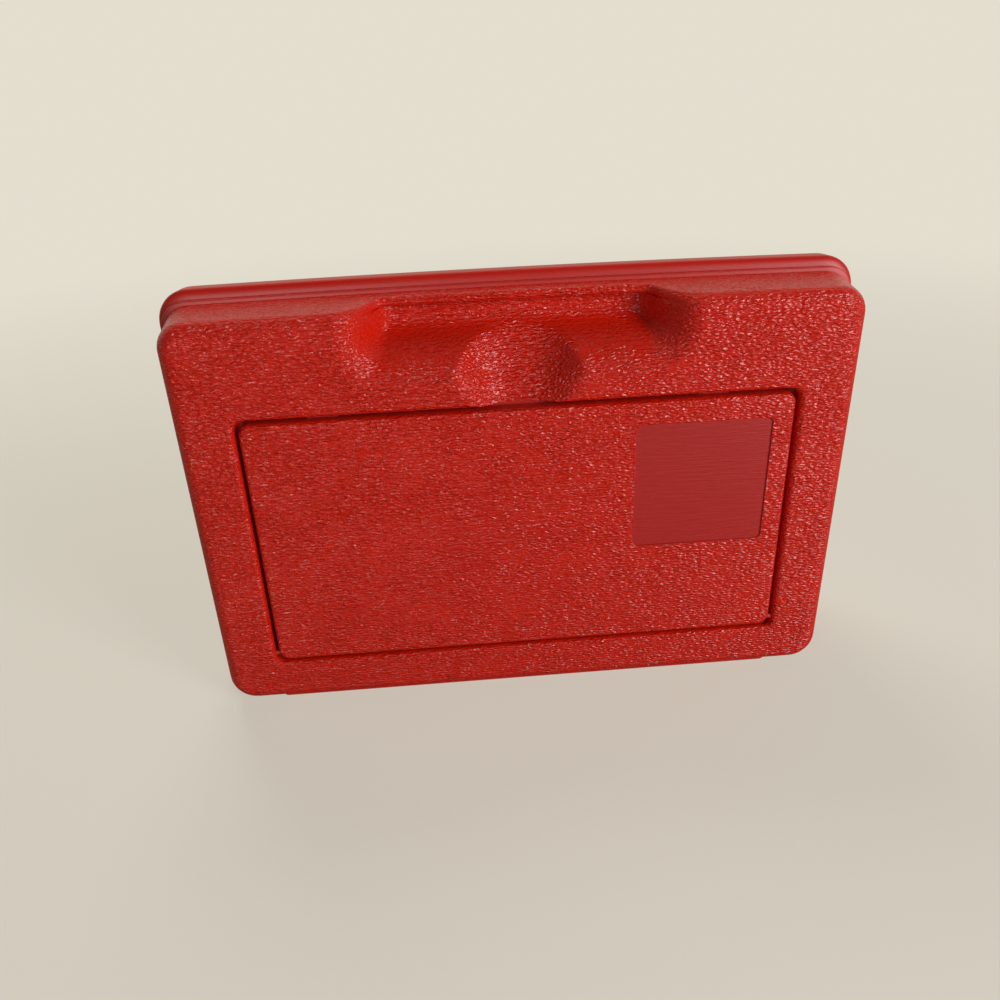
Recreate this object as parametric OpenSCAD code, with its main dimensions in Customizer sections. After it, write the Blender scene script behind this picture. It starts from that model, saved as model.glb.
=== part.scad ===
// Upright toy-brick carrying case: two hinged half shells with a moulded hand grip,
// a drop-down front door over a shallow pocket, and a lift-out sorting tray with dividers.
// Frame: X to the right, Y to the back, Z up; origin at the bottom centre of the case.

/* [Case] */
// Width over the raised rim
rim_w = 317; // [280:1:360]
// Height of the rim's top edge at its ends
rim_top = 208.2; // [190:0.5:240]
// Extra height of every top edge at its middle
crown = 1.1; // [0.2:0.1:2]
// Depth from the front face to the rear face
case_d = 89; // [82:1:100]
// Depth of the front half, from the front face to the parting line
seam_d = 30.4; // [30:0.1:34]
// Height of the standing feet below the shells
foot_h = 4.2; // [4:0.1:5]
// Wall thickness of the two shells
wall = 2.5; // [2:0.1:2.8]

/* [Front half] */
// Half width of the front face at the front plane
face_half = 152; // [146:0.5:156]
// Height of the front face's top edge
face_top = 200.5; // [196:0.5:201]
// How much wider each side gets from the front plane to the parting line
side_draft = 3; // [1:0.1:4]
// How much higher the top gets from the front plane to the parting line
top_draft = 1.7; // [0.5:0.1:2.5]
// Rounding between the front face and the sides
face_round = 6; // [4:0.5:7]
// Corner radius at the bottom of the front face
corner_bottom = 13; // [10:0.5:16]
// Corner radius at the top of the front face
corner_top = 12; // [10:0.5:15]
// How far the edge bead stands out of the front half at the parting line
bead = 1.4; // [0.8:0.1:2]

/* [Rear half] */
// Depth of the raised rim, front to back
rim_d = 12; // [8:0.5:14]
// Rounding between the rear face and the sides
rear_round = 8; // [6:0.5:10]

/* [Door] */
// Width of the door panel
door_w = 249.7; // [230:0.1:256]
// Height of the door panel
door_h = 126.4; // [110:0.1:128]
// Height of the door panel's bottom edge above the table
door_z = 28.6; // [28:0.1:30]
// Corner radius of the door panel
door_corner = 5.2; // [4:0.1:7]
// Depth of the door panel with its return edge
door_d = 7.5; // [6:0.1:8]
// Gap between the door panel and its opening
door_gap = 1.65; // [1.2:0.05:2]
// Side of the square label field
label_side = 63.4; // [40:0.1:70]
// Distance of the label field's centre to the right of the case's middle
label_x = 83.5; // [40:0.5:86]
// Height of the label field's centre above the door's bottom edge
label_z = 83.6; // [45:0.5:88]
// Depth of the label field
label_depth = 0.7; // [0.3:0.1:1.2]

/* [Grip] */
// Half width of the front scoop's mouth
scoop_half = 73.5; // [66:0.5:78]
// Height at which the scoop's lip begins
scoop_z = 172.7; // [170:0.1:176]
// Depth of the front scoop
scoop_d = 26.3; // [20:0.1:27]
// Depth of the rear scoop
rear_scoop_d = 37; // [30:0.5:38]
// How far the ledge over the fingers stands out of the scoop's back wall
ledge = 5.3; // [3:0.1:7]
// Thickness of the ledge over the fingers
ledge_h = 4.2; // [3.5:0.1:5]
// Depth of the finger channel at the door's top edge
channel_d = 7; // [6:0.1:9]

/* [Pocket and tray] */
// Depth at which the pocket's back wall begins
pocket_d = 23.4; // [20:0.1:24]
// Wall thickness of the pocket liner and the tray
thin = 1.8; // [1.4:0.1:2.2]
// Width of the sorting tray
tray_w = 280; // [260:1:282]
// Height of the sorting tray as it stands in the case
tray_h = 150; // [120:1:152]
// Depth of the sorting tray
tray_d = 46; // [36:1:48]

/* [Hinges] */
// Diameter of the hinge pins
pin_dia = 3; // [2.5:0.1:3]
// Outer diameter of the case's hinge knuckles
knuckle_dia = 5.8; // [5.4:0.1:6]
// Length of one knuckle
knuckle_l = 20; // [14:1:24]
// Distance of each case hinge from the case's middle
hinge_x = 85; // [60:1:95]

/* [Hidden] */

case_red = [0.72, 0.06, 0.03];
tray_red = [0.80, 0.12, 0.08];
steel = [0.72, 0.73, 0.75];

front_y = -case_d / 2;
seam_y = front_y + seam_d;
rear_y = case_d / 2;
seam_gap = 0.3;
run = 0.08;              // radial clearance of a pin that turns
clear = 0.4;             // clearance between parts that pass each other
pin_r = pin_dia / 2;
knuckle_r = knuckle_dia / 2;

// Section of both halves at the parting line
seam_half = face_half + side_draft;
seam_top = face_top + top_draft;
shell_z = foot_h;
tongue_t = 1.5;          // thickness of the front half's locating tongue
tongue_l = 3;
tongue_z = 24;           // the tongue stops here, above the hinge
rear_thin = 0.6;         // what is left of the seam section outside the rear cavity

// Case hinge, just under the shells on the parting line
hinge_y = seam_y + seam_gap / 2;
hinge_z = knuckle_r + 0.3;

// Door opening and door hinge
open_half = door_w / 2 + door_gap;
open_z0 = door_z - door_gap - 0.15;
open_z1 = door_z + door_h + door_gap;
lip_r = 2.6;             // rounding of the opening's edge
flange_d = 10.5;         // depth of the wall around the opening
flange_t = 2;
door_pin_in = 3.2;       // door pin axis from the door's bottom and front faces
door_pin_y = front_y + door_pin_in;
door_pin_z = door_z + door_pin_in;
door_skin = 2.4;
door_edge = 2;
door_pin_l = 12;

corner_steps = 8;        // segments in a quarter turn of an outline
round_steps = 5;         // rings in a quarter turn of an edge
top_steps = 8;           // segments along a crowned top

// ---- outlines and lofts -------------------------------------------------

function arc(x, z, r, from, steps) =
    [for (i = [0 : steps]) let (a = from + 90 * i / steps) [x + r * cos(a), z + r * sin(a)]];

// Height of the crown at x along a top of half length h
function crown_at(x, h, c) = c * (1 - pow(x / h, 2));

// Rounded section of half width w from height b to t, bottom radius rb, top radius rt
function section(w, b, t, rb, rt, c) = concat(
    arc(w - rb, b + rb, rb, -90, corner_steps),
    arc(w - rt, t - rt, rt, 0, corner_steps),
    [for (i = [1 : top_steps - 1])
        let (x = (w - rt) * (1 - 2 * i / top_steps)) [x, t + crown_at(x, w - rt, c)]],
    arc(rt - w, t - rt, rt, 90, corner_steps),
    arc(rb - w, b + rb, rb, 180, corner_steps));

function ring(y, points) = [for (p = points) [p[0], y, p[1]]];

// Solid through a list of rings of equal point counts, each further back than the one before
module loft(rings) {
    n = len(rings[0]);
    last = len(rings) - 1;
    polyhedron(
        points = [for (r = rings) for (p = r) p],
        faces = concat(
            [[for (i = [n - 1 : -1 : 0]) i]],
            [for (k = [0 : last - 1]) for (i = [0 : n - 1])
                let (j = (i + 1) % n) [k * n + i, (k + 1) * n + j, (k + 1) * n + i]],
            [for (k = [0 : last - 1]) for (i = [0 : n - 1])
                let (j = (i + 1) % n) [k * n + i, k * n + j, (k + 1) * n + j]],
            [[for (i = [0 : n - 1]) last * n + i]]));
}

// ---- grip scoops --------------------------------------------------------

// Smooth forms of max() and min(), blended over k
function soft_max(a, b, k) = let (h = max(0, k - abs(a - b))) max(a, b) + h * h / (4 * k);
function soft_min(a, b, k) = -soft_max(-a, -b, k);

scoop_slope = 1.88;      // depth gained for each step in from the scoop's lip
scoop_corner = 16;       // corner radius of the scoop's mouth
lip_width = 2.5;         // the lip's rounding before the slope begins
lip_blend = 16;          // depth over which the scoop's lip rounds into the face
channel_lip = 8;         // the same for the finger channel, whose lip is tighter
back_blend = 7;          // depth over which the slope rounds into the back wall
channel_half = 17;       // half width of the finger channel at the door
channel_power = 2.5;     // two is a round floor, more is a flatter one
channel_flare = 0.62;    // how fast the channel widens upwards
channel_fall = 0.5;      // how fast the channel deepens upwards

// Distance inside the scoop's mouth, a rounded slot that is open at its top
function inside_mouth(x, z, half) = let (
    u = abs(x) - (half - scoop_corner),
    v = (scoop_z + scoop_corner) - z)
    scoop_corner - ((u > 0 && v > 0) ? norm([u, v]) : max(u, v));

// Signed depth of the basin and of the round-bottomed channel, below zero outside them
function basin(x, z, half, slope, grow) = slope * (inside_mouth(x, z, half) - lip_width + grow);

function channel(x, z, grow) = let (
    up = z - open_z1,
    half = channel_half + channel_flare * max(-2, up) + grow,
    floor_d = channel_d + channel_fall * up)
    floor_d * (1 - pow(abs(x) / half, channel_power));

// Rounds a signed depth into the face around it and into the scoop's back wall
function hollow(signed, depth, lip) = soft_min(soft_max(0, signed, lip), depth, back_blend);

// Runs smoothly from 0 to 1 as t does
function ease(t) = let (u = min(1, max(0, t))) u * u * (3 - 2 * u);

function front_depth(x, z, grow) = let (
    a = basin(x, z, scoop_half, scoop_slope, grow),
    b = channel(x, z, grow),
    lip = channel_lip + (lip_blend - channel_lip) * ease((a - b) / 12 + 0.5))
    hollow(soft_max(a, b, 3), scoop_d, lip);

rear_half = scoop_half - 7;
rear_slope = scoop_slope * rear_scoop_d / scoop_d;

function rear_depth(x, z, grow) =
    hollow(basin(x, z, rear_half, rear_slope, grow), rear_scoop_d, lip_blend);

function scoop_depth(x, z, grow, rear) = rear ? rear_depth(x, z, grow) : front_depth(x, z, grow);

field_half = scoop_half + 7.5;
field_x = 46;            // cells across the scoop
field_z = 24;            // cells up the scoop

// Everything in front of the scooped face, or of a face lying grow further in
module scoop_space(rear, grow, z0, z1) {
    side = rear ? -1 : 1;
    face = rear ? rear_y : front_y;
    nx = field_x + 1;
    xs = [for (i = [0 : field_x]) -field_half + 2 * field_half * i / field_x];
    zs = [for (j = [0 : field_z]) z0 + (z1 - z0) * j / field_z];
    skim = 0.05;         // keeps the flat part of the field off the face itself
    deep = [for (z = zs) for (x = xs)
        [x, face + side * (scoop_depth(x, z, grow, rear) + grow - skim), z]];
    flat = [for (z = zs) for (x = xs) [x, face - side * 6, z]];
    count = len(deep);
    cells = [for (j = [0 : field_z - 1]) for (i = [0 : field_x - 1]) j * nx + i];
    rim = concat(
        [for (i = [0 : field_x - 1]) i],
        [for (j = [0 : field_z - 1]) j * nx + field_x],
        [for (i = [field_x : -1 : 1]) field_z * nx + i],
        [for (j = [field_z : -1 : 1]) j * nx]);
    sides = [for (k = [0 : len(rim) - 1])
        let (a = rim[k], b = rim[(k + 1) % len(rim)]) [a, b, b + count, a + count]];
    deep_faces = concat(
        [for (c = cells) [c, c + nx + 1, c + 1]],
        [for (c = cells) [c, c + nx, c + nx + 1]]);
    flat_faces = [for (f = deep_faces) [f[0] + count, f[2] + count, f[1] + count]];
    faces = concat(deep_faces, flat_faces, sides);
    polyhedron(
        points = concat(deep, flat),
        faces = rear ? faces : [for (f = faces) [for (i = [len(f) - 1 : -1 : 0]) f[i]]]);
}

// What a hand scoop takes out of a shell: the ledge over the fingers stays
module scoop_cut(rear) {
    face = rear ? rear_y : front_y;
    side = rear ? -1 : 1;
    depth = rear ? rear_scoop_d : scoop_d;
    difference() {
        scoop_space(rear, 0, rear ? 166 : 150, rim_top + 6);
        translate([-field_half - 1, face + side * (depth - ledge) - (rear ? 20 : 0),
                   seam_top - ledge_h])
            cube([2 * field_half + 2, 20, 30]);
    }
}

// ---- shells -------------------------------------------------------------

// Section of the front half at depth d, inset all round, with its sides and top let out
function front_section(d, inset, out) = let (s = d / seam_d) section(
    face_half + side_draft * s - inset + out,
    shell_z + inset,
    face_top + top_draft * s - inset + out,
    max(2, corner_bottom - inset), max(2, corner_top - inset), crown);

// Rings that round an edge of radius r, starting at depth d0 and at an inset
function front_edge(d0, r, inset) = [for (i = [0 : round_steps])
    let (a = 90 * i / round_steps, d = d0 + r * (1 - cos(a)))
    ring(front_y + d, front_section(d, inset + r * (1 - sin(a)), 0))];

// The bead has a fine groove round its middle: depths before the parting line and heights
bead_profile = [[2.2, 0], [2, 0.75], [1.75, 1], [1.25, 1], [1.1, 0.6], [0.95, 1.05], [0, 1.15]];

module front_body() {
    loft(concat(
        front_edge(0, face_round, 0),
        [for (p = bead_profile)
            ring(seam_y - p[0], front_section(seam_d - p[0], 0, bead * p[1]))]));
}

module front_cavity() {
    loft(concat(
        front_edge(wall, face_round - wall, wall),
        [ring(seam_y + tongue_l + 1, front_section(seam_d + tongue_l + 1, wall, 0))]));
}

module tongue() {
    intersection() {
        loft([for (d = [seam_d - 4, seam_d + tongue_l])
            ring(front_y + d, front_section(seam_d, wall - tongue_t, 0))]);
        translate([-rim_w, seam_y - 4, tongue_z]) cube([2 * rim_w, 20, rim_top]);
    }
}

// Rounded rectangle from z0 to z1, drawn in x and z and running from depth d0 to d1
module plate(half, z0, z1, r, d0, d1) {
    translate([0, front_y + d1, 0]) rotate([90, 0, 0]) linear_extrude(d1 - d0) union() {
        translate([-half + r, z0]) square([2 * (half - r), z1 - z0]);
        translate([-half, z0 + r]) square([2 * half, z1 - z0 - 2 * r]);
        for (x = [-half + r, half - r]) for (z = [z0 + r, z1 - r]) translate([x, z]) circle(r, $fn = 48);
    }
}

// Way through the front for the door, let out by so much all round
open_r = 5;
open_r_low = 3.5;
function open_ring(d, out) = ring(front_y + d, section(
    open_half + out, open_z0 - out, open_z1 + out, open_r_low + out, open_r + out, 0));

module door_opening() {
    loft(concat(
        [open_ring(-1, lip_r)],
        [for (i = [0 : round_steps]) let (a = 90 * i / round_steps)
            open_ring(lip_r * (1 - cos(a)), lip_r * (1 - sin(a)))],
        [open_ring(flange_d + 1, 0)]));
}

// Tapered foot across the bottom, between two depths
foot_half = 131;
foot_taper = 5;
module foot(d0, d1) {
    hull() {
        translate([-foot_half, front_y + d0, foot_h]) cube([2 * foot_half, d1 - d0, 1.5]);
        translate([-foot_half + foot_taper, front_y + d0 + 1.5, 0])
            cube([2 * (foot_half - foot_taper), d1 - d0 - 3, 1]);
    }
}

// Ledge that the closed door rests on, along the opening's top and sides
stop_w = 3;
stop_z = 42;
module door_stop() {
    intersection() {
        difference() {
            plate(open_half + 1, open_z0 - 1, open_z1 + 1, open_r, door_d + seam_gap, flange_d);
            plate(open_half - stop_w, open_z0 - 5, open_z1 - stop_w, open_r, door_d - 1, flange_d + 1);
        }
        translate([-rim_w, front_y, stop_z]) cube([2 * rim_w, seam_d, rim_top]);
    }
}

module front_skin() {
    door_stop();
    difference() {
        union() {
            front_body();
            tongue();
            foot(6, 17);
        }
        difference() {
            front_cavity();
            scoop_space(false, wall, 150, rim_top + 6);
            plate(open_half + flange_t, open_z0 - flange_t, open_z1 + flange_t, open_r + flange_t,
                  -1, flange_d);
        }
        plate(open_half + thin + 0.6, open_z0 - thin - 0.6, open_z1 + thin + 0.6,
              open_r + thin, flange_d, seam_d - 3);
        door_opening();
        scoop_cut(false);
    }
}

rear_len = rear_y - seam_y - seam_gap;
rear_draft = 4;
rear_top_draft = 4;
rim_out = rim_w / 2 - seam_half;
rim_round = 3.6;

// Section of the rear half at a distance behind its front edge
function rear_section(e, inset, out) = let (s = e / rear_len) section(
    seam_half - rear_draft * s - inset + out,
    shell_z + max(0, inset),
    seam_top - rear_top_draft * s - inset + out * (rim_top - seam_top) / rim_out,
    max(2, corner_bottom + 2 - inset), max(2, corner_top + 3 - inset), crown);

function rear_ring(e, inset, out) = ring(seam_y + seam_gap + e, rear_section(e, inset, out));

module rear_body() {
    loft(concat(
        [for (i = [0 : round_steps]) let (a = 90 * i / round_steps)
            rear_ring(rim_round * (1 - cos(a)), 0, rim_out - rim_round * (1 - sin(a)))],
        [rear_ring(rim_d - 1.2, 0, rim_out), rear_ring(rim_d - 0.4, 0, rim_out - 0.4),
         rear_ring(rim_d, 0, rim_out - 1.2), rear_ring(rim_d + 0.4, 0, 0)],
        [for (i = [0 : round_steps]) let (a = 90 * i / round_steps)
            rear_ring(rear_len - rear_round + rear_round * sin(a), rear_round * (1 - cos(a)), 0)]));
}

module rear_cavity() {
    inner = rear_round - wall;
    step = tongue_l + 1;
    function socket(e) = ring(seam_y + seam_gap + e, section(
        seam_half - rear_thin, shell_z + wall, seam_top - rear_thin,
        corner_bottom - rear_thin, corner_top - rear_thin, crown));
    loft(concat(
        [socket(-1), socket(step), rear_ring(step + 1, wall, 0)],
        [for (i = [0 : round_steps]) let (a = 90 * i / round_steps)
            rear_ring(rear_len - wall - inner + inner * sin(a), wall + inner * (1 - cos(a)), 0)]));
}

module rear_skin() {
    difference() {
        union() {
            rear_body();
            foot(case_d - 21, case_d - 9);
        }
        difference() {
            rear_cavity();
            scoop_space(true, wall, 160, rim_top + 6);
        }
        scoop_cut(true);
    }
    intersection() {
        rear_body();
        tray_rests();
    }
}

// ---- hinges -------------------------------------------------------------

// Cylinder along X from x0 to x1
module x_cylinder(x0, x1, y, z, r) {
    translate([x0, y, z]) rotate([0, 90, 0]) cylinder(r = r, h = x1 - x0, $fn = 48);
}

// Each case hinge has a front knuckle between two rear ones
module front_knuckle(side, extra, r) {
    x_cylinder(side * hinge_x - knuckle_l / 2 - extra, side * hinge_x + knuckle_l / 2 + extra,
               hinge_y, hinge_z, r);
}

module rear_knuckles(side, extra, r) {
    for (end = [-1, 1]) {
        mid = side * hinge_x + end * (knuckle_l + clear);
        x_cylinder(mid - knuckle_l / 2 - extra, mid + knuckle_l / 2 + extra, hinge_y, hinge_z, r);
    }
}

case_pin_l = 3 * knuckle_l + 2 * clear;
module case_pin(side, extra, r) {
    x_cylinder(side * hinge_x - case_pin_l / 2 - extra, side * hinge_x + case_pin_l / 2 + extra,
               hinge_y, hinge_z, r);
}

module case_pin_left() color(steel) case_pin(-1, 0, pin_r);
module case_pin_right() color(steel) case_pin(1, 0, pin_r);

// ---- rear half ----------------------------------------------------------

tray_back = case_d - wall;
tray_z = 13;
tray_half = tray_w / 2;
rest_x = 70;             // the two ribs that the tray stands on
rest_t = 3;
keeper_z = [50, 126];    // heights of the ribs beside the tray
keeper_t = 4;

module tray_rests() {
    for (x = [-rest_x, rest_x])
        translate([x - rest_t / 2, front_y + 50, shell_z + 0.5])
            cube([rest_t, case_d - 51, tray_z - shell_z - 0.5]);
    for (side = [-1, 1]) for (z = keeper_z) {
        translate([side > 0 ? tray_half + clear : -seam_half - 1, front_y + tray_back - tray_d - 3, z])
            cube([seam_half + 1 - tray_half - clear, tray_d + 4, keeper_t]);
        translate([side > 0 ? tray_half - 1 : -seam_half - 1, front_y + tray_back - tray_d - 3, z])
            cube([seam_half + 2 - tray_half, 2.6, keeper_t]);
    }
}

module rear_shell() color(case_red) difference() {
    union() {
        resize([rim_w, 0, 0]) rear_skin();
        for (side = [-1, 1]) rear_knuckles(side, 0, knuckle_r);
    }
    for (side = [-1, 1]) {
        front_knuckle(side, clear, knuckle_r + clear);
        case_pin(side, 1, pin_r);
    }
}

// ---- sorting tray -------------------------------------------------------

tray_mid = tray_z + tray_h / 2;
slots = 4;
slot_pitch = tray_w / (slots + 1);
divider_t = 1.6;
slot_rib = 1.4;
slot_clear = 0.2;
function slot_x(i) = -tray_half + slot_pitch * i;

module sorting_tray() color(tray_red) {
    back = tray_back;
    front = tray_back - tray_d;
    difference() {
        plate(tray_half, tray_z, tray_z + tray_h, 8, front, back);
        plate(tray_half - thin, tray_z + thin, tray_z + tray_h - thin, 8 - thin, front - 1, back - thin);
    }
    translate([-tray_half + 1, front_y + front + 2, tray_mid - thin / 2])
        cube([tray_w - 2, tray_d - 3, thin]);
    for (i = [1, 2])
        translate([-tray_half + i * tray_w / 3 - thin / 2, front_y + front + 2, tray_z + 1])
            cube([thin, tray_d - 3, tray_h / 2 - 1]);
    for (i = [1 : slots]) for (side = [-1, 1]) for (z = [tray_mid + 0.5, tray_z + tray_h - thin - 2]) {
        x = slot_x(i) + side * (divider_t / 2 + slot_clear + slot_rib / 2);
        translate([x - slot_rib / 2, front_y + front + 3, z]) cube([slot_rib, tray_d - 4, 2.5]);
    }
}

// Slide-in wall of the tray's upper row, with a finger notch in its front edge
module tray_divider(i) color(tray_red) {
    z0 = tray_mid + thin / 2 + slot_clear;
    z1 = tray_z + tray_h - thin - slot_clear;
    d0 = tray_back - tray_d + 3;
    difference() {
        translate([slot_x(i) - divider_t / 2, front_y + d0, z0])
            cube([divider_t, tray_d - thin - 3, z1 - z0]);
        x_cylinder(slot_x(i) - 2, slot_x(i) + 2, front_y + d0, (z0 + z1) / 2, 9);
    }
}

module tray_divider_1() tray_divider(1);
module tray_divider_2() tray_divider(2);
module tray_divider_3() tray_divider(3);
module tray_divider_4() tray_divider(4);

// ---- front half ---------------------------------------------------------

screw_x = open_half + 8.5;
screw_z = [44, 92, 140];
screw_r = 1.5;
boss_r = 3.8;
ear_r = 5.5;
ear_t = 2;

// Cylinder running back along Y from depth d0 to d1
module y_cylinder(x, z, r, d0, d1) {
    translate([x, front_y + d1, z]) rotate([90, 0, 0]) cylinder(r = r, h = d1 - d0, $fn = 48);
}

module at_screws() {
    for (x = [-screw_x, screw_x]) for (z = screw_z) translate([x, 0, z]) children();
}

door_boss_l = 6;
module front_shell() color(case_red) difference() {
    union() {
        resize([2 * (seam_half + bead * 1.15), 0, 0]) front_skin();
        for (side = [-1, 1]) front_knuckle(side, 0, knuckle_r);
        at_screws() y_cylinder(0, 0, boss_r, 2, flange_d);
        x_cylinder(open_half + 0.5, open_half + door_boss_l, door_pin_y + 2, door_pin_z, 4.4);
        x_cylinder(-open_half - door_boss_l, -open_half - 0.5, door_pin_y + 2, door_pin_z, 4.4);
    }
    for (side = [-1, 1]) {
        rear_knuckles(side, clear, knuckle_r + clear);
        case_pin(side, 1, pin_r + run);
        x_cylinder(side * (open_half + 2) - 3, side * (open_half + 2) + 3,
            door_pin_y, door_pin_z, pin_r + run);
    }
    at_screws() y_cylinder(0, 0, screw_r, 4.5, flange_d + 1);
}

module pocket_liner() color(case_red) difference() {
    union() {
        difference() {
            plate(open_half + thin, open_z0 - thin, open_z1 + thin, open_r + thin,
                  flange_d, pocket_d + thin);
            plate(open_half, open_z0, open_z1, open_r, flange_d - 1, pocket_d);
        }
        at_screws() y_cylinder(0, 0, ear_r, flange_d, flange_d + ear_t);
        for (side = [-1, 1]) for (z = screw_z)
            translate([side > 0 ? open_half + 0.5 : -screw_x, front_y + flange_d, z - ear_r + 0.5])
                cube([screw_x - open_half - 0.5, ear_t, 2 * ear_r - 1]);
    }
    at_screws() y_cylinder(0, 0, screw_r + 0.1, flange_d - 1, flange_d + ear_t + 1);
}

screw_head_h = 1.8;
screw_head_r = 3;
module liner_screws() color(steel) at_screws() difference() {
    union() {
        y_cylinder(0, 0, screw_r, 5, flange_d + ear_t + 0.5);
        y_cylinder(0, 0, screw_head_r, flange_d + ear_t, flange_d + ear_t + screw_head_h);
    }
    for (size = [[3.4, 0.8], [0.8, 3.4]])
        translate([-size[0] / 2, front_y + flange_d + ear_t + screw_head_h - 0.9, -size[1] / 2])
            cube([size[0], 1.5, size[1]]);
}

// ---- door ---------------------------------------------------------------

door_half = door_w / 2;
nose_x = 88;             // the two snap noses on the door's top edge
nose_l = 14;
nose_h = 0.9;
nose_d = 4.8;            // depth at which the noses begin
rib_t = 1.6;
rib_h = 3;

module door_ribs() {
    for (x = [-door_w / 6, door_w / 6])
        translate([x - rib_t / 2, front_y + door_skin - 0.5, door_z + 1]) cube([rib_t, rib_h, door_h - 2]);
    translate([-door_half + 1, front_y + door_skin - 0.5, door_z + door_h / 2 - rib_t / 2])
        cube([door_w - 2, rib_h, rib_t]);
}

module door_panel() color(case_red) difference() {
    union() {
        difference() {
            plate(door_half, door_z, door_z + door_h, door_corner, 0, door_d);
            plate(door_half - door_edge, door_z + door_edge, door_z + door_h - door_edge,
                  door_corner - door_edge, door_skin, door_d + 1);
        }
        door_ribs();
        for (side = [-1, 1]) {
            end = side * (door_half - 0.5);
            x_cylinder(min(end, end - side * door_pin_l), max(end, end - side * door_pin_l),
                       door_pin_y, door_pin_z, 2.9);
            translate([side * nose_x - nose_l / 2, front_y + nose_d, door_z + door_h - 1])
                cube([nose_l, 2.5, 1 + nose_h]);
        }
    }
    translate([label_x, 0, door_z + label_z - label_side / 2])
        plate(label_side / 2, 0, label_side, 3, -1, label_depth);
    for (side = [-1, 1]) door_pin(side, 0);
}

module door_pin(side, r_extra) {
    inner = door_half - door_pin_l + 2;
    outer = open_half + 4.5;
    x_cylinder(side > 0 ? inner : -outer, side > 0 ? outer : -inner,
               door_pin_y, door_pin_z, pin_r + r_extra);
}

module door_pin_left() color(case_red) door_pin(-1, 0);
module door_pin_right() color(case_red) door_pin(1, 0);

rear_shell();
case_pin_left();
case_pin_right();
sorting_tray();
tray_divider_1();
tray_divider_2();
tray_divider_3();
tray_divider_4();
front_shell();
pocket_liner();
liner_screws();
door_panel();
door_pin_left();
door_pin_right();
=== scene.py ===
import math

import bmesh
import bpy
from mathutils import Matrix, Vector


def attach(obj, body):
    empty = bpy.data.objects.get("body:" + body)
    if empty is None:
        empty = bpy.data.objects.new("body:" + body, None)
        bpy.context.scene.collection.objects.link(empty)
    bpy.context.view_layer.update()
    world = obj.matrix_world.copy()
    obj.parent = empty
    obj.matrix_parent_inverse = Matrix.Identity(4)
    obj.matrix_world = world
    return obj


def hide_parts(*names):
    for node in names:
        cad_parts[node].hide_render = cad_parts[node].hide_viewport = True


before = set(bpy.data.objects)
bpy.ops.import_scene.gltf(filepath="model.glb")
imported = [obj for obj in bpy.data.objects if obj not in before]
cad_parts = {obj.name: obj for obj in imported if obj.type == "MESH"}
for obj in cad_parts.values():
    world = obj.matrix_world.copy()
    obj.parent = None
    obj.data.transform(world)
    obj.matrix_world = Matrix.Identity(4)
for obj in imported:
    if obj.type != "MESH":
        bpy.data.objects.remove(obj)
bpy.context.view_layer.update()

# ---- Camera ----------------------------------------------------------------------------
# Stands close to the case, a little left of its middle, and looks down on its front.

CAMERA_AT = (-0.0315, -0.3961, 0.2919)
CAMERA_TURN = (62.77, 2.05, -4.36)      # degrees about X, Y and Z
CAMERA_LENS = 30.67

camera_data = bpy.data.cameras.new("camera")
camera_data.sensor_fit = "HORIZONTAL"
camera_data.sensor_width = 36
camera_data.lens = CAMERA_LENS
camera_data.clip_start = 0.01
camera = bpy.data.objects.new("camera", camera_data)
camera.location = CAMERA_AT
camera.rotation_euler = [math.radians(a) for a in CAMERA_TURN]
bpy.context.scene.collection.objects.link(camera)
bpy.context.scene.camera = camera

# ---- Front half shell ------------------------------------------------------------------
# The front half of the case: one shell moulded in red polypropylene, with a leather grain
# etched in the mould, drafted sides, a hand grip under a ledge and a framed way in for the
# door. Its bead, tongue, foot, knuckles and screw posts are moulded with it.

MM = 0.001
CASE_D = 89.0
FRONT_Y = -CASE_D / 2
SHELL_Z = 4.2               # underside of the shells, above the feet
WALL = 2.5
CROWN = 1.1                 # how far the top bows up at its middle
SEAM_D = 30.4               # depth of the parting line behind the front face
LEDGE_Z = 198.0             # underside of the ledge over the fingers
LEDGE = 5.3                 # how far the ledge stands out of the grip's back wall
LEDGE_ROUND = 2.4           # rounding of the ledge's lower edge
FIELD_HALF = 81.0           # the grip's rounding ends inside this half width

GRIP_Z = 172.7
GRIP_CORNER = 16.0
GRIP_LIP = 2.5
LIP_BLEND = 16.0            # depth over which the grip's lip rounds into the face
CHANNEL_LIP = 8.0           # the same for the finger channel, whose lip is tighter
BACK_BLEND = 7.0            # depth over which the slope rounds into the back wall
CHANNEL_HALF = 17.0
CHANNEL_D = 7.0
CHANNEL_POWER = 2.5
CHANNEL_FLARE = 0.62
CHANNEL_FALL = 0.5
CHANNEL_LOW = 8.0           # the channel ends this far below the opening's top edge

OPEN_HALF = 126.5
OPEN_LOW = 26.8
OPEN_HIGH = 156.65
OPEN_LOW_R = 3.5
OPEN_HIGH_R = 5.0
LIP_R = 2.6                 # rounding of the opening's edge
FLANGE_D = 10.5
FLANGE_T = 2.0
STOP_D = 7.8                # the ledge that the closed door rests on
STOP_W = 3.0
STOP_Z = 42.0

BEAD = 1.4
BEAD_ROWS = [(2.2, 0), (2.0, 0.75), (1.75, 1), (1.25, 1), (1.1, 0.6), (0.95, 1.05), (0, 1.15)]
TONGUE_T = 1.5
TONGUE_L = 3.0
TONGUE_Z = 24.0

ROUND_ROWS = 8              # rows round an edge
FINE = 1.1                  # spacing of the mesh in the grip
GRAINED, SMOOTH = 0, 1      # material slots of both shells


def soft_max(a, b, reach):
    """The larger of two values, blended where they are closer than reach."""
    overlap = max(0.0, reach - abs(a - b))
    return max(a, b) + overlap * overlap / (4 * reach)


def soft_min(a, b, reach):
    return -soft_max(-a, -b, reach)


def smooth(value, low, high):
    """Runs smoothly from 0 at low to 1 at high."""
    t = min(1.0, max(0.0, (value - low) / (high - low)))
    return t * t * (3 - 2 * t)


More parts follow.
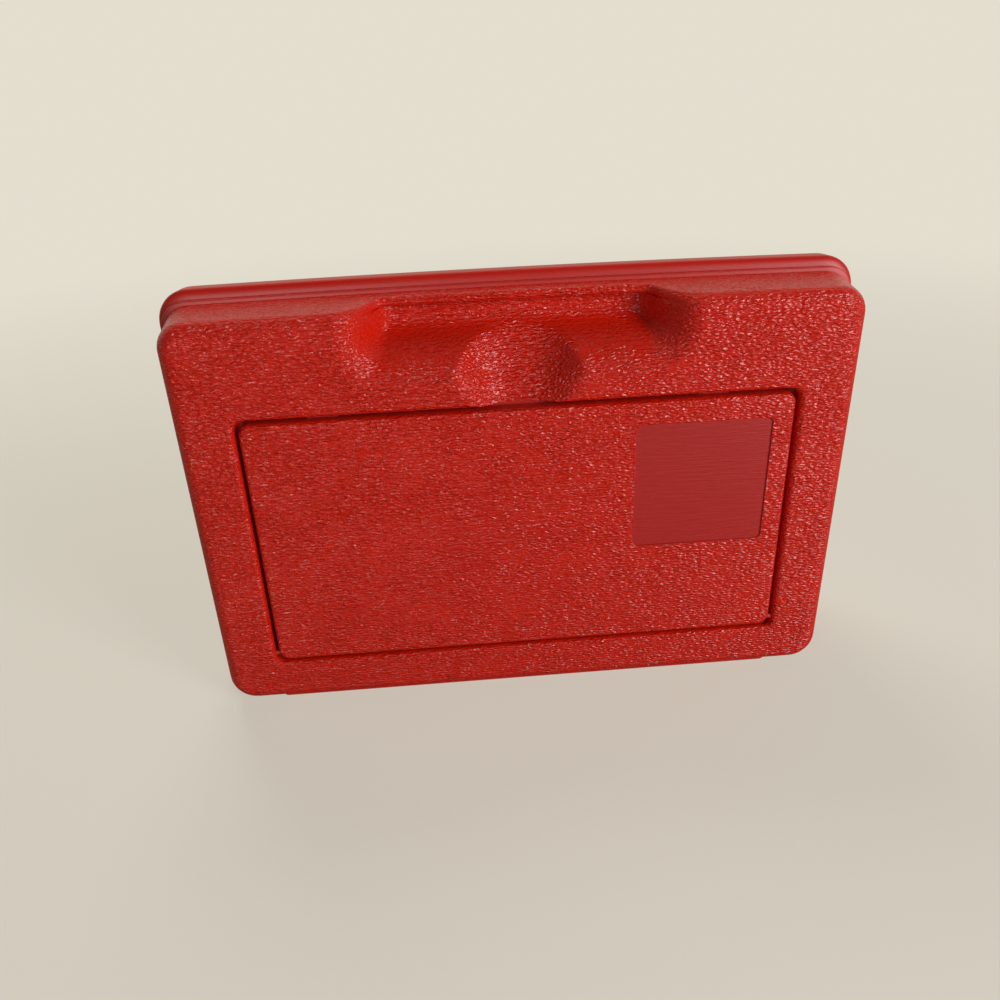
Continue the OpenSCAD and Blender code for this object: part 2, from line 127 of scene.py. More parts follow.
def steps(low, high, size):
    """Evenly spaced places from low towards high, at most size apart, without high."""
    count = max(1, math.ceil((high - low) / size - 1e-6))
    return [low + (high - low) * i / count for i in range(count)]


def mirrored(half):
    """Places on both sides of the middle, from those on the right."""
    return [-x for x in reversed(half[1:])] + half


class Grip:
    """A hand grip: a scoop with a ledge over the fingers, with or without a finger channel."""

    def __init__(self, half, slope, deep, channel):
        self.half, self.slope, self.deep, self.channel = half, slope, deep, channel

    def depth(self, x, z, grow=0.0):
        """Depth behind the face at x and z, or behind a face that lies grow further in."""
        u = abs(x) - (self.half - GRIP_CORNER)
        v = (GRIP_Z + GRIP_CORNER) - z
        inside = GRIP_CORNER - (math.hypot(u, v) if u > 0 and v > 0 else max(u, v))
        signed = self.slope * (inside - GRIP_LIP + grow)
        lip = LIP_BLEND
        up = z - OPEN_HIGH
        if self.channel and up > -CHANNEL_LOW:
            half = CHANNEL_HALF + CHANNEL_FLARE * max(-2.0, up) + grow
            channel = (CHANNEL_D + CHANNEL_FALL * up) * (1 - (abs(x) / half) ** CHANNEL_POWER)
            lip = CHANNEL_LIP + (LIP_BLEND - CHANNEL_LIP) * smooth(signed - channel, -6, 6)
            signed = soft_max(signed, channel, 3.0)
        return soft_min(soft_max(0.0, signed, lip), self.deep, BACK_BLEND)

    def edge(self, x):
        """Depth of the case's top edge at x."""
        return max(0.0, soft_min(self.depth(x, LEDGE_Z), self.deep - LEDGE, 6.0))

    def share(self, x):
        """How much of the ledge's form the top edge has at x: none beside the grip."""
        return smooth(self.depth(x, LEDGE_Z), 0.5, self.deep - 2)


def bend_corner(x, z, corner_x, corner_z, up, radius, fade=0.0):
    """Bends the square lines round a corner's centre to arcs, fading out past its radius."""
    a, b = abs(x) - corner_x, (z - corner_z) * up
    if a <= 0 or b <= 0:
        return x, z
    size = max(a, b)
    past = size - radius
    share = 1.0 if past < 1e-3 else max(0.0, 1 - past / fade) if fade else 0.0
    k = 1 + (size / math.hypot(a, b) - 1) * share
    return math.copysign(corner_x + a * k, x), corner_z + b * k * up


class Outline:
    """A rounded outline and the points that follow it."""

    def __init__(self, half, low, high, low_r, high_r, crown=0.0):
        self.half, self.low, self.high = half, low, high
        self.low_r, self.high_r, self.crown = low_r, high_r, crown

    def crown_at(self, x):
        return self.crown * max(0.0, 1 - (x / (self.half - self.high_r)) ** 2)

    def point(self, x, z, out, widen=0.0, lift=0.0):
        """Where a place on the square outline goes, moved out, with the sides and top let out."""
        r = self.low_r if z < (self.low + self.high) / 2 else self.high_r
        core_x = self.half - r
        core_low, core_high = self.low + self.low_r, self.high - self.high_r
        qx = min(core_x, max(-core_x, x))
        qz = min(core_high, max(core_low, z))
        away = Vector((x - qx, z - qz)).normalized()
        rise = (qz - core_low) / (core_high - core_low)
        px = qx + widen * qx / core_x + away.x * (r + out)
        pz = qz + lift * rise + away.y * (r + out) + max(0.0, away.y) * self.crown_at(x)
        return px, pz

    def bend(self, x, z, fade=0.0):
        """Bends the lines of a square sheet at the outline's four corners."""
        x, z = bend_corner(x, z, self.half - self.high_r, self.high - self.high_r, 1,
                           self.high_r, fade)
        return bend_corner(x, z, self.half - self.low_r, self.low + self.low_r, -1,
                           self.low_r, fade)


def add_sheet(bm, xs, zs, place, hole=None, finish=GRAINED):
    """Adds a grid through the places xs and zs; gives the edges round it and round its hole."""
    home = bm.verts.layers.float_vector["home"]
    made = bmesh.ops.create_grid(bm, x_segments=len(xs) - 1, y_segments=len(zs) - 1, size=1)
    for v in made["verts"]:
        i = round((v.co.x + 1) / 2 * (len(xs) - 1))
        j = round((v.co.y + 1) / 2 * (len(zs) - 1))
        v[home] = Vector((xs[i], 0, zs[j]))
    faces = {f for v in made["verts"] for f in v.link_faces}
    outer = {e for f in faces for e in f.edges if e.is_boundary}
    for f in faces:
        f.material_index = finish
    if hole:
        def in_hole(f):
            mid = sum((v[home] for v in f.verts), Vector()) / len(f.verts)
            return abs(mid.x - hole[0]) < hole[1] and hole[2] < mid.z < hole[3]
        bmesh.ops.delete(bm, geom=[f for f in faces if in_hole(f)], context="FACES")
    verts = [v for v in made["verts"] if v.is_valid]
    for v in verts:
        v.co = place(v[home].x, v[home].z)
    edges = {e for v in verts for e in v.link_edges if e.is_boundary}
    return list(outer), list(edges - outer)


def add_row(bm, edges, place, finish=GRAINED):
    """Extrudes a rim and puts each new vertex where place says for its home."""
    home = bm.verts.layers.float_vector["home"]
    made = bmesh.ops.extrude_edge_only(bm, edges=edges)["geom"]
    for v in made:
        if isinstance(v, bmesh.types.BMVert):
            v.co = place(v[home].x, v[home].z)
    rim = [e for e in made if isinstance(e, bmesh.types.BMEdge) and e.is_boundary]
    for e in rim:
        mid = (e.verts[0][home] + e.verts[1][home]) / 2
        e.link_faces[0].material_index = finish(mid.x, mid.z) if callable(finish) else finish
    return rim


class HalfShell:
    """The form of one half: its face, the rounding round it, its drafted sides and its grip."""

    def __init__(self, face_y, inward, length, half, top, side_draft, top_draft, edge_r,
                 low_r, high_r, grip, lift_from):
        self.face_y, self.inward, self.length = face_y, inward, length
        self.side_draft, self.top_draft, self.edge_r = side_draft, top_draft, edge_r
        self.top, self.grip, self.lift_from = top, grip, lift_from
        self.outline = Outline(half - edge_r, SHELL_Z + edge_r, top - edge_r,
                               low_r - edge_r, high_r - edge_r, CROWN)

    def at(self, px, pz, depth):
        return Vector((px, self.face_y + self.inward * depth, pz))

    def wall_point(self, x, z, depth, inset, proud_x=0.0, proud_z=0.0):
        s = min(1.0, depth / self.length)
        return self.outline.point(x, z, self.edge_r - inset, self.side_draft * s + proud_x,
                                  self.top_draft * s + proud_z)

    def by_grip(self, x, z):
        return z > self.outline.high - 1e-4 and abs(x) < FIELD_HALF

    def ledge_rows(self, x):
        """Depths and heights of the rows from under the ledge, round its edge, to the top."""
        deep, edge = self.grip.depth(x, LEDGE_Z), self.grip.edge(x)
        top = self.top + self.top_draft * edge / self.length + self.outline.crown_at(x)
        r = LEDGE_ROUND
        return [(deep, LEDGE_Z), (edge + r, LEDGE_Z), (edge + 0.5 * r, LEDGE_Z + 0.13 * r),
                (edge + 0.13 * r, LEDGE_Z + 0.5 * r), (edge, LEDGE_Z + r), (edge, top - 1.2),
                (edge + 0.4, top - 0.4), (edge + 1.2, top), (edge + 2.4, top + 0.05)]

    def face(self, bend_hole=None):
        """Places of the outer face, whose upper rows rise to the crowned top or the ledge."""
        def place(x, z):
            if bend_hole:
                x, z = bend_hole(x, z)
            x, z = self.outline.bend(x, z)
            share = max(0.0, (z - self.lift_from) / (self.outline.high - self.lift_from))
            crowned = self.outline.high + self.outline.crown_at(x)
            goal = crowned + (LEDGE_Z - crowned) * self.grip.share(x)
            z += share * (goal - self.outline.high)
            return self.at(x, z, self.grip.depth(x, z))
        return place

    def round_row(self, k):
        """Row k round the edge of the face, or round the ledge."""
        turn = math.radians(90 * k / ROUND_ROWS)
        depth = self.edge_r * (1 - math.cos(turn))
        inset = self.edge_r * (1 - math.sin(turn))

        def place(x, z):
            px, pz = self.wall_point(x, z, depth, inset)
            if not self.by_grip(x, z):
                return self.at(px, pz, depth)
            row_d, row_z = self.ledge_rows(px)[k]
            part = self.grip.share(px)
            d = (self.grip.edge(px) + depth) * (1 - part) + row_d * part
            return self.at(px, pz * (1 - part) + row_z * part, d)
        return place

    def side_row(self, share, until):
        """Row on the sides and top, a share of the way from the edge to a depth."""
        def place(x, z):
            start = self.edge_r
            if self.by_grip(x, z):
                part = self.grip.share(x)
                start = (self.grip.edge(x) + start) * (1 - part) + self.ledge_rows(x)[-1][0] * part
            depth = start + (until - start) * share
            return self.at(*self.wall_point(x, z, depth, 0), depth)
        return place

    def wall_row(self, depth, inset=0.0, proud_x=0.0, proud_z=0.0, above=0.0, extra=0.0):
        """Row at one depth; above a height it stands further out, as the tongue does."""
        def place(x, z):
            px, pz = self.wall_point(x, z, depth, inset, proud_x, proud_z)
            return self.at(px, pz, depth + (extra if z > above else 0.0))
        return place

    def inner_face(self, bend_hole=None):
        """Places of the wall's inside, which follows the grip at the wall's thickness."""
        def place(x, z):
            if bend_hole:
                x, z = bend_hole(x, z)
            x, z = self.outline.bend(x, z)
            share = max(0.0, (z - self.lift_from) / (self.outline.high - self.lift_from))
            z += share * self.outline.crown_at(x)
            return self.at(x, z, WALL + self.grip.depth(x, z, WALL))
        return place

    def inner_round_row(self, k, rows):
        turn = math.radians(90 * k / rows)
        r = self.edge_r - WALL
        depth = WALL + r * (1 - math.cos(turn))

        def place(x, z):
            px, pz = self.wall_point(x, z, 0, WALL + r * (1 - math.sin(turn)))
            d = max(depth, WALL + self.grip.depth(px, pz, WALL)) if self.by_grip(x, z) else depth
            return self.at(px, pz, d)
        return place


def add_box(bm, low, high, edge=0.4, taper=0.0, finish=GRAINED):
    """Adds a box with softened edges, its underside drawn in by taper."""
    size = Vector(high) - Vector(low)
    made = bmesh.ops.create_cube(bm, size=1)["verts"]
    for v in made:
        v.co = Vector(a * b for a, b in zip(v.co, size))
        if v.co.z < 0:
            v.co.x -= math.copysign(taper, v.co.x)
            v.co.y -= math.copysign(taper * 0.3, v.co.y)
    bmesh.ops.translate(bm, vec=(Vector(low) + Vector(high)) / 2, verts=made)
    for f in {f for v in made for f in v.link_faces}:
        f.material_index = finish
    edges = list({e for v in made for e in v.link_edges})
    bmesh.ops.bevel(bm, geom=edges, offset=edge, segments=3, profile=0.5, material=-1,
                    affect="EDGES")


def add_tube(bm, start, end, outer, bore, finish=GRAINED):
    """Adds a round tube between two points, its section spun round their line."""
    start, end = Vector(start), Vector(end)
    line = (end - start).normalized()
    side = line.orthogonal().normalized()
    soft = 0.25
    length = (end - start).length
    section = [(bore, 0), (outer - soft, 0), (outer, soft), (outer, length - soft),
               (outer - soft, length), (bore, length)]
    verts = [bm.verts.new(start + side * r + line * l) for r, l in section]
    edges = [bm.edges.new((a, b)) for a, b in zip(verts, verts[1:] + verts[:1])]
    before = set(bm.faces)
    bmesh.ops.spin(bm, geom=verts + edges, cent=start, axis=line, angle=math.tau, steps=36,
                   use_merge=True)
    made = [f for f in bm.faces if f not in before]
    bmesh.ops.recalc_face_normals(bm, faces=made)
    for f in made:
        f.material_index = finish


def finish_piece(bm, name, materials, body, replaced, sharp=35.0):
    """Turns a mesh in millimetres into a piece that rides on a body of the case."""
    bmesh.ops.scale(bm, vec=(MM, MM, MM), verts=bm.verts)
    if "home" in bm.verts.layers.float_vector:
        bm.verts.layers.float_vector.remove(bm.verts.layers.float_vector["home"])
    mesh = bpy.data.meshes.new(name)
    bm.to_mesh(mesh)
    bm.free()
    mesh.shade_smooth()
    mesh.set_sharp_from_angle(angle=math.radians(sharp))
    for material in materials:
        mesh.materials.append(material)
    piece = bpy.data.objects.new(name, mesh)
    bpy.context.scene.collection.objects.link(piece)
    weighted = piece.modifiers.new("flat faces stay flat", "WEIGHTED_NORMAL")
    weighted.keep_sharp = True
    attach(piece, body)
    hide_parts(*replaced)


def add_node(tree, kind, inputs=(), **settings):
    """Adds a shader node, sets its properties and fills or links its inputs."""
    node = tree.nodes.new(kind)
    for name, value in settings.items():
        setattr(node, name, value)
    for key, value in dict(inputs).items():
        if isinstance(value, bpy.types.NodeSocket):
            tree.links.new(value, node.inputs[key])
        else:
            node.inputs[key].default_value = value
    return node


def maths(tree, operation, a, b=0.0, c=0.0):
    return add_node(tree, "ShaderNodeMath", {0: a, 1: b, 2: c}, operation=operation).outputs[0]


def noise(tree, vector, scale, detail):
    """A noise texture's level at a place."""
    return add_node(tree, "ShaderNodeTexNoise",
                    {"Vector": vector, "Scale": scale, "Detail": detail}).outputs[0]


def start_group(name, inputs, outputs):
    """Starts a node group; gives its tree, its input node and its output node."""
    tree = bpy.data.node_groups.new(name, "ShaderNodeTree")
    for label, value in inputs.items():
        kind = "NodeSocketColor" if isinstance(value, tuple) else "NodeSocketFloat"
        socket = tree.interface.new_socket(label, in_out="INPUT", socket_type=kind)
        socket.default_value = value
    for label, kind in outputs.items():
        tree.interface.new_socket(label, in_out="OUTPUT", socket_type=kind)
    return tree, tree.nodes.new("NodeGroupInput"), tree.nodes.new("NodeGroupOutput")


def make_grain():
    """Height of the etched leather grain: short soft wrinkles that run along the case."""
    tree, given, out = start_group("leather grain", {"Wrinkle": 0.00095, "Stretch": 2.1, "Sway": 0.5},
                                   {"Height": "NodeSocketFloat"})
    place = add_node(tree, "ShaderNodeTexCoord")
    facing = add_node(tree, "ShaderNodeSeparateXYZ", {0: place.outputs["Normal"]})
    sideways = add_node(tree, "ShaderNodeMapRange",
                        {0: maths(tree, "ABSOLUTE", facing.outputs["X"]), 1: 0.6, 2: 0.8}).outputs[0]
    per_wrinkle = add_node(tree, "ShaderNodeVectorMath",
                           {0: place.outputs["Object"],
                            "Scale": maths(tree, "DIVIDE", 1.0, given.outputs["Wrinkle"])},
                           operation="SCALE").outputs[0]
    bends = add_node(tree, "ShaderNodeTexNoise", {"Vector": per_wrinkle, "Scale": 0.22, "Detail": 0.0})
    shift = add_node(tree, "ShaderNodeVectorMath", {0: bends.outputs["Color"], 1: (0.5, 0.5, 0.5)},
                     operation="SUBTRACT").outputs[0]
    sway = add_node(tree, "ShaderNodeVectorMath", {0: shift, "Scale": given.outputs["Sway"]},
                    operation="SCALE").outputs[0]
    swayed = add_node(tree, "ShaderNodeVectorMath", {0: sway, 1: per_wrinkle},
                      operation="ADD").outputs[0]
    patches = noise(tree, per_wrinkle, 0.045, 1.0)
    strength = add_node(tree, "ShaderNodeMapRange", {0: patches, 1: 0.35, 2: 0.6, 3: 0.72}).outputs[0]
    heights = []
    for along in (0, 1):
        parts = add_node(tree, "ShaderNodeSeparateXYZ", {0: swayed})
        sockets = list(parts.outputs)
        sockets[along] = maths(tree, "DIVIDE", sockets[along], given.outputs["Stretch"])
        lined = add_node(tree, "ShaderNodeCombineXYZ", dict(enumerate(sockets[:3]))).outputs[0]
        uneven = noise(tree, lined, 1.0, 0.0)
        strayed = noise(tree, lined, 0.7, 0.0)
        turn = maths(tree, "MULTIPLY_ADD", sockets[2], 4.2, maths(tree, "MULTIPLY", strayed, 9.0))
        waves = maths(tree, "MULTIPLY", maths(tree, "SINE", turn), 0.32)
        heights.append(maths(tree, "MULTIPLY_ADD", uneven, 1.6, waves))
    mixed = add_node(tree, "ShaderNodeMix", {0: sideways, 2: heights[0], 3: heights[1]}).outputs[0]
    frontal = maths(tree, "ABSOLUTE", facing.outputs["Y"])
    etched = add_node(tree, "ShaderNodeMapRange", {0: frontal, 1: 0.5, 2: 0.95, 3: 0.4}).outputs[0]
    height = maths(tree, "MULTIPLY", maths(tree, "MULTIPLY", mixed, strength), etched)
    tree.links.new(height, out.inputs["Height"])
    return tree


def make_tone():
    """Colour of moulded plastic: a slow drift in the pigment and in the skin's gloss."""
    tree, given, out = start_group(
        "moulded tone", {"Red": (0.6, 0.02, 0.01, 1), "Drift": 0.06, "Gloss": 0.35, "Spread": 0.05},
        {"Color": "NodeSocketColor", "Roughness": "NodeSocketFloat"})
    place = add_node(tree, "ShaderNodeTexCoord").outputs["Object"]
    slow = add_node(tree, "ShaderNodeTexNoise", {"Vector": place, "Scale": 14.0, "Detail": 3.0})
    fine = add_node(tree, "ShaderNodeTexNoise", {"Vector": place, "Scale": 420.0, "Detail": 2.0})
    level = maths(tree, "MULTIPLY_ADD", slow.outputs[0], 2.0, -1.0)
    tint = add_node(tree, "ShaderNodeHueSaturation",
                    {"Value": maths(tree, "MULTIPLY_ADD", level, given.outputs["Drift"], 1.0),
                     "Color": given.outputs["Red"]})
    both = maths(tree, "ADD", slow.outputs[0], maths(tree, "MULTIPLY_ADD", fine.outputs[0], 1.0, -1.0))
    rough = maths(tree, "MULTIPLY_ADD", both, given.outputs["Spread"], given.outputs["Gloss"])
    tree.links.new(tint.outputs[0], out.inputs["Color"])
    tree.links.new(rough, out.inputs["Roughness"])
    return tree


grain_group = make_grain()
tone_group = make_tone()
CASE_RED = (0.60, 0.011, 0.002, 1)


def moulded_plastic(name, red, gloss, grain=0.0, depth=0.00055, drift=0.02, spread=0.05):
    """Moulded plastic with its tone, and with the etched grain where grain is above zero."""
    material = bpy.data.materials.new(name)
    material.use_nodes = True
    tree = material.node_tree
    shader = tree.nodes["Principled BSDF"]
    tone = add_node(tree, "ShaderNodeGroup", node_tree=tone_group)
    tone.inputs["Red"].default_value = red
    tone.inputs["Drift"].default_value = drift
    tone.inputs["Gloss"].default_value = gloss
    tone.inputs["Spread"].default_value = spread
    tree.links.new(tone.outputs["Color"], shader.inputs["Base Color"])
    tree.links.new(tone.outputs["Roughness"], shader.inputs["Roughness"])
    shader.inputs["IOR"].default_value = 1.5
    if grain:
        height = add_node(tree, "ShaderNodeGroup", node_tree=grain_group).outputs["Height"]
    else:
        place = add_node(tree, "ShaderNodeTexCoord").outputs["Object"]
        height = add_node(tree, "ShaderNodeTexNoise", {"Vector": place, "Scale": 90.0}).outputs[0]
    bump = add_node(tree, "ShaderNodeBump",
                    {"Strength": grain or 0.25, "Distance": depth, "Height": height})
    tree.links.new(bump.outputs[0], shader.inputs["Normal"])
    return material


grained_red = moulded_plastic("grained red plastic", CASE_RED, 0.27, grain=1.0)
smooth_red = moulded_plastic("smooth red plastic", (0.53, 0.010, 0.003, 1), 0.42, depth=0.00016,
                             drift=0.03)

front_form = HalfShell(FRONT_Y, 1, SEAM_D, 152.0, 200.5, 3.0, 1.7, 6.0, 13.0, 12.0,
                       Grip(73.5, 1.88, 26.3, True), OPEN_HIGH + LIP_R)
face = front_form.outline
way = Outline(OPEN_HALF + LIP_R, OPEN_LOW - LIP_R, OPEN_HIGH + LIP_R,
              OPEN_LOW_R + LIP_R, OPEN_HIGH_R + LIP_R)


def bend_round_way(x, z):
    return way.bend(x, z, fade=7.0)


def way_row(out, depth, wall=0.0, narrow=0.0):
    """Row round the door's way in, moved out from its wall; the channel runs through it."""
    def place(x, z):
        px, pz = way.point(x, z, out - LIP_R - (narrow if z > STOP_Z - 0.1 else 0.0))
        d = depth
        if pz > OPEN_HIGH - 0.5 and depth < FLANGE_D:
            d = max(depth, wall + front_form.grip.depth(px, pz, wall))
        return front_form.at(px, pz, d)
    return place


columns = mirrored(steps(0, FIELD_HALF, FINE) + steps(FIELD_HALF, way.half - way.high_r, 8)
                   + steps(way.half - way.high_r, way.half, 1.3) + steps(way.half, 139, 4)
                   + steps(139, face.half, 1.2) + [face.half])
rows = (steps(face.low, face.low + face.low_r, 1.2) + steps(face.low + face.low_r, way.low, 4)
        + steps(way.low, way.low + way.low_r, 1.3)
        + [way.low + way.low_r] + steps(STOP_Z - 0.3, STOP_Z, 0.3)
        + steps(STOP_Z, way.high - way.high_r, 12)
        + steps(way.high - way.high_r, face.high, FINE) + [face.high])
way_in = (0, way.half, way.low, way.high)

HINGE_X = 85.0
HINGE_Y = FRONT_Y + SEAM_D + 0.15
HINGE_Z = 3.2
KNUCKLE_L = 20.0
KNUCKLE_R = 2.9
PIN_R = 1.5
DOOR_PIN_Z = 31.8
BOSS_R = 4.4                # boss in the front shell round each door pin
SCREW_X = OPEN_HALF + 8.5
SCREW_Z = (44.0, 92.0, 140.0)
FOOT_HALF = 131.0


def add_knuckle(bm, mid):
    add_tube(bm, (mid - KNUCKLE_L / 2, HINGE_Y, HINGE_Z), (mid + KNUCKLE_L / 2, HINGE_Y, HINGE_Z),
             KNUCKLE_R, PIN_R + 0.02, SMOOTH)


shell = bmesh.new()
shell.verts.layers.float_vector.new("home")
add_box(shell, (-FOOT_HALF, FRONT_Y + 6, 0), (FOOT_HALF, FRONT_Y + 17, SHELL_Z + 1), 0.9, 4.5, SMOOTH)
for side in (-1, 1):
    add_knuckle(shell, side * HINGE_X)
    boss_y = FRONT_Y + 5.2
    add_tube(shell, (side * (OPEN_HALF + 0.5), boss_y, DOOR_PIN_Z),
             (side * (OPEN_HALF + 6), boss_y, DOOR_PIN_Z), BOSS_R, PIN_R + 0.1, SMOOTH)
    for z in SCREW_Z:
        add_tube(shell, (side * SCREW_X, FRONT_Y + 2, z), (side * SCREW_X, FRONT_Y + FLANGE_D, z),
                 3.8, PIN_R, SMOOTH)

rim, frame_rim = add_sheet(shell, columns, rows, front_form.face(bend_round_way), way_in)
for k in range(1, ROUND_ROWS + 1):
    rim = add_row(shell, rim, front_form.round_row(k))
for share in (0.3, 0.6, 1.0):
    rim = add_row(shell, rim, front_form.side_row(share, SEAM_D - BEAD_ROWS[0][0] - 0.5))
for before, height in BEAD_ROWS:
    rim = add_row(shell, rim, front_form.wall_row(SEAM_D - before, 0, BEAD * height, BEAD * height),
                  SMOOTH)
for extra in (0, TONGUE_L):
    rim = add_row(shell, rim, front_form.wall_row(SEAM_D, WALL - TONGUE_T, above=TONGUE_Z, extra=extra),
                  SMOOTH)
for turn in (math.radians(15 * k) for k in range(1, 7)):
    frame_rim = add_row(shell, frame_rim, way_row(LIP_R * (1 - math.sin(turn)),
                                                  LIP_R * (1 - math.cos(turn))))
frame_rim = add_row(shell, frame_rim, way_row(0, STOP_D), SMOOTH)
frame_rim = add_row(shell, frame_rim, way_row(0, STOP_D, narrow=STOP_W), SMOOTH)
frame_rim = add_row(shell, frame_rim, way_row(0, FLANGE_D, narrow=STOP_W), SMOOTH)

inner_rim, inner_frame = add_sheet(shell, columns, rows, front_form.inner_face(bend_round_way),
                                   way_in, SMOOTH)
for k in range(1, 5):
    inner_rim = add_row(shell, inner_rim, front_form.inner_round_row(k, 4), SMOOTH)
for extra in (0, TONGUE_L):
    inner_place = front_form.wall_row(SEAM_D, WALL, above=TONGUE_Z, extra=extra)
    inner_rim = add_row(shell, inner_rim, inner_place, SMOOTH)
for depth in (FLANGE_D - 3, FLANGE_D):
    inner_frame = add_row(shell, inner_frame, way_row(FLANGE_T, depth, WALL), SMOOTH)
bmesh.ops.bridge_loops(shell, edges=rim + inner_rim)
bmesh.ops.bridge_loops(shell, edges=frame_rim + inner_frame)
bmesh.ops.remove_doubles(shell, verts=shell.verts, dist=1e-3)
bmesh.ops.recalc_face_normals(shell, faces=shell.faces)

finish_piece(shell, "front_half", [grained_red, smooth_red], "front_half",
             ["front_shell"])

# ---- Rear half shell -------------------------------------------------------------------
# The rear half, moulded in the same grained plastic: deeper, with a smooth raised rim that
# frames the front half, its own hand grip, and ribs inside that hold the sorting tray.

REAR_LEN = CASE_D - SEAM_D - 0.3
RIM_D = 12.0
RIM_OUT = 3.5
RIM_UP = 6.0
RIM_ROUND = 3.6
SOCKET_L = TONGUE_L + 1
REAR_THIN = 0.6             # what is left of the wall round the tongue's socket
REAR_LIFT_Z = 160.0         # above it the rear face's rows rise to the crown or the ledge

rear_form = HalfShell(CASE_D / 2, -1, REAR_LEN, 151.0, 198.2, 4.0, 4.0, 8.0, 15.0, 15.0,
                      Grip(66.5, 2.645, 37.0, False), REAR_LIFT_Z)
back = rear_form.outline
columns = mirrored(steps(0, FIELD_HALF, FINE) + steps(FIELD_HALF, back.half - back.low_r, 9)
                   + steps(back.half - back.low_r, back.half, 1.2) + [back.half])
rows = (steps(back.low, back.low + back.low_r, 1.2) + steps(back.low + back.low_r, REAR_LIFT_Z, 12)
        + steps(REAR_LIFT_Z, back.high, FINE) + [back.high])

shell = bmesh.new()
shell.verts.layers.float_vector.new("home")
TRAY_HALF = 140.0
TRAY_Z = 13.0
TRAY_FRONT_Y = FRONT_Y + CASE_D - WALL - 46
REST_BACK_Y = CASE_D / 2 - 8    # the rests end where the back begins to round
REST_X = 70.0
KEEPER_HALF = 150.2         # the keepers beside the tray end inside the wall
KEEPER_Z = (50.0, 126.0)
add_box(shell, (-FOOT_HALF, CASE_D / 2 - 21, 0), (FOOT_HALF, CASE_D / 2 - 9, SHELL_Z + 1), 0.9, 4.5,
        SMOOTH)
for side in (-1, 1):
    for end in (-1, 1):
        add_knuckle(shell, side * HINGE_X + end * (KNUCKLE_L + 0.4))
    add_box(shell, (side * REST_X - 1.5, FRONT_Y + 50, SHELL_Z + 1),
            (side * REST_X + 1.5, REST_BACK_Y, TRAY_Z), 0.3, 0, SMOOTH)
    for z in KEEPER_Z:
        outer, inner = side * KEEPER_HALF, side * (TRAY_HALF + 0.4)
        add_box(shell, (min(outer, inner), TRAY_FRONT_Y - 1.5, z + 0.1),
                (max(outer, inner), REST_BACK_Y, z + 3.9), 0.3, 0, SMOOTH)
        inner = side * (TRAY_HALF - 1)
        add_box(shell, (min(outer, inner), TRAY_FRONT_Y - 3, z),
                (max(outer, inner), TRAY_FRONT_Y - 0.4, z + 4), 0.3, 0, SMOOTH)

rim, _ = add_sheet(shell, columns, rows, rear_form.face())
for k in range(1, ROUND_ROWS + 1):
    rim = add_row(shell, rim, rear_form.round_row(k))
for share in (0.25, 0.5, 0.75, 1.0):
    rim = add_row(shell, rim, rear_form.side_row(share, REAR_LEN - RIM_D - 1))


def rim_row(behind, out):
    """Row on the raised rim, so far behind the parting line."""
    return rear_form.wall_row(REAR_LEN - behind, 0, out, out * RIM_UP / RIM_OUT)


for behind, out in ((RIM_D + 0.4, 0), (RIM_D, RIM_OUT - 1.2), (RIM_D - 0.4, RIM_OUT - 0.4),
                    (RIM_D - 1.2, RIM_OUT)):
    rim = add_row(shell, rim, rim_row(behind, out), SMOOTH)
for turn in (math.radians(90 - 11.25 * k) for k in range(9)):
    rim = add_row(shell, rim, rim_row(RIM_ROUND * (1 - math.cos(turn)),
                                      RIM_OUT - RIM_ROUND * (1 - math.sin(turn))), SMOOTH)
for behind, inset in ((0, REAR_THIN), (SOCKET_L, REAR_THIN), (SOCKET_L + 1, WALL)):
    rim = add_row(shell, rim, rear_form.wall_row(REAR_LEN - behind, inset), SMOOTH)
inner_rim, _ = add_sheet(shell, columns, rows, rear_form.inner_face(), None, SMOOTH)
for k in range(1, 6):
    inner_rim = add_row(shell, inner_rim, rear_form.inner_round_row(k, 5), SMOOTH)
bmesh.ops.bridge_loops(shell, edges=rim + inner_rim)
bmesh.ops.recalc_face_normals(shell, faces=shell.faces)

finish_piece(shell, "rear_half", [grained_red, smooth_red], "rear_half",
             ["rear_shell"])

# ---- Door panel ------------------------------------------------------------------------
# The drop-down door: a grained panel with a return edge and ribs behind, and a square label
# field sunk in it, which is smooth but for the fine lines of its milled mould insert.

DOOR_HALF = 124.85
DOOR_LOW = 28.6
DOOR_HIGH = 155.0
DOOR_R = 5.2
DOOR_D = 7.5
DOOR_SKIN = 2.4
DOOR_EDGE = 2.0
DOOR_SOFT = 1.8             # rounding of the panel's front edge
LABEL_X = 83.5
LABEL_Z = DOOR_LOW + 83.6
LABEL_HALF = 31.7
LABEL_R = 3.0
LABEL_D = 0.7
LABEL_BAND = 3              # the sheet is finer this near to the label field's edge
FIELD = 2                   # material slot of the label field

panel = Outline(DOOR_HALF - DOOR_SOFT, DOOR_LOW + DOOR_SOFT, DOOR_HIGH - DOOR_SOFT,
                DOOR_R - DOOR_SOFT, DOOR_R - DOOR_SOFT)
label = Outline(LABEL_HALF, LABEL_Z - LABEL_HALF, LABEL_Z + LABEL_HALF, LABEL_R, LABEL_R)


def door_face(x, z):
    x, z = panel.bend(x, z)
    lx, z = label.bend(x - LABEL_X, z, fade=3.0)
    return Vector((lx + LABEL_X, FRONT_Y, z))


def door_row(out, depth):
    def place(x, z):
        px, pz = panel.point(x, z, out)
        return Vector((px, FRONT_Y + depth, pz))
    return place


def label_row(out, depth):
    def place(x, z):
        px, pz = label.point(x - LABEL_X, z, out)
        return Vector((px + LABEL_X, FRONT_Y + depth, pz))
    return place


